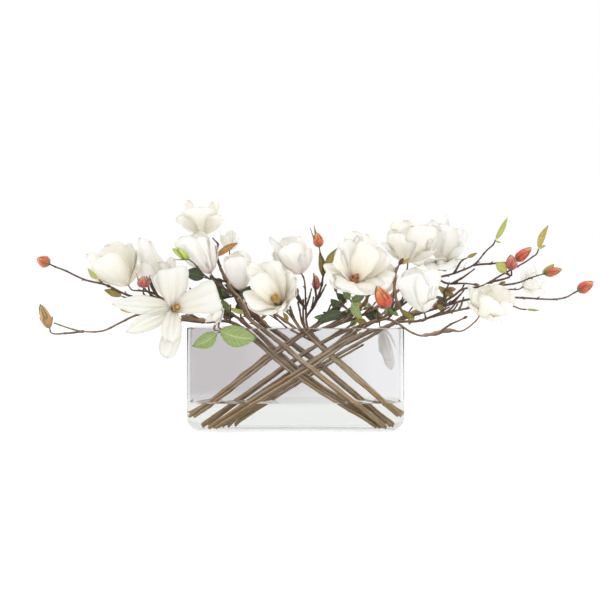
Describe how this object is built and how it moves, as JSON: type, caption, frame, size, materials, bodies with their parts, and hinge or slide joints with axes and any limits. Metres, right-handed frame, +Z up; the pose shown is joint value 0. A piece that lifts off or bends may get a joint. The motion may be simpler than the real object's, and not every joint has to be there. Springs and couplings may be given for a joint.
{
  "type": "magnolia branch arrangement",
  "caption": "Magnolia branches with open white blooms, red buds and green leaves, crossing in a low rectangular glass vase with water.",
  "frame": {"origin": "middle of the vase's flat foot, on the surface that it stands on", "axes": "+X along the vase and the arrangement, to the right as the front is seen; +Y away from the viewer; +Z up"},
  "size_m": [0.9056, 0.2348, 0.3786],
  "materials": {
    "clear_glass": "clear, smooth, very slightly grey",
    "water": "clear still water with a faint warm tint",
    "bark": "satin young bark, olive brown below and purple brown on the twigs",
    "petals": "matt creamy white, faint yellow and pink at the base",
    "red_buds": "satin orange red with darker scales",
    "green_buds": "satin lime green",
    "green_leaves": "satin light green with paler veins",
    "dark_leaves": "satin dark green with paler veins",
    "yellow_leaves": "satin yellow green"
  },
  "bodies": {
    "root": {"vase": "clear_glass", "water": "water", "branch_left_1": "bark", "branch_left_2": "bark", "branch_left_3": "bark", "branch_left_4": "bark", "branch_left_5": "bark", "branch_left_6": "bark", "branch_right_1": "bark", "branch_right_2": "bark", "branch_right_3": "bark", "branch_right_4": "bark", "branch_right_5": "bark", "branch_right_6": "bark", "branch_right_7": "bark", "bloom_1": "petals", "bloom_2": "petals", "bloom_3": "petals", "bloom_4": "petals", "bloom_5": "petals", "bloom_6": "petals", "bloom_7": "petals", "bloom_8": "petals", "bloom_9": "petals", "bloom_10": "petals", "bloom_11": "petals", "bloom_12": "petals", "bloom_13": "petals", "bloom_14": "petals", "bloom_15": "petals", "bloom_16": "petals", "bloom_17": "petals", "bloom_18": "petals", "bud_1": "red_buds", "bud_2": "red_buds", "bud_3": "red_buds", "bud_4": "green_buds", "bud_5": "red_buds", "bud_6": "red_buds", "bud_7": "red_buds", "bud_8": "red_buds", "bud_9": "red_buds", "bud_10": "red_buds", "bud_11": "red_buds", "leaf_1": "green_leaves", "leaf_2": "green_leaves", "leaf_3": "yellow_leaves", "leaf_4": "yellow_leaves", "leaf_5": "green_leaves", "leaf_6": "yellow_leaves", "leaf_7": "green_leaves", "leaf_8": "green_leaves", "leaf_9": "green_leaves", "leaf_10": "green_leaves", "leaf_11": "dark_leaves", "leaf_12": "dark_leaves", "leaf_13": "green_leaves", "leaf_14": "dark_leaves", "leaf_15": "dark_leaves"}
  },
  "joints": []
}
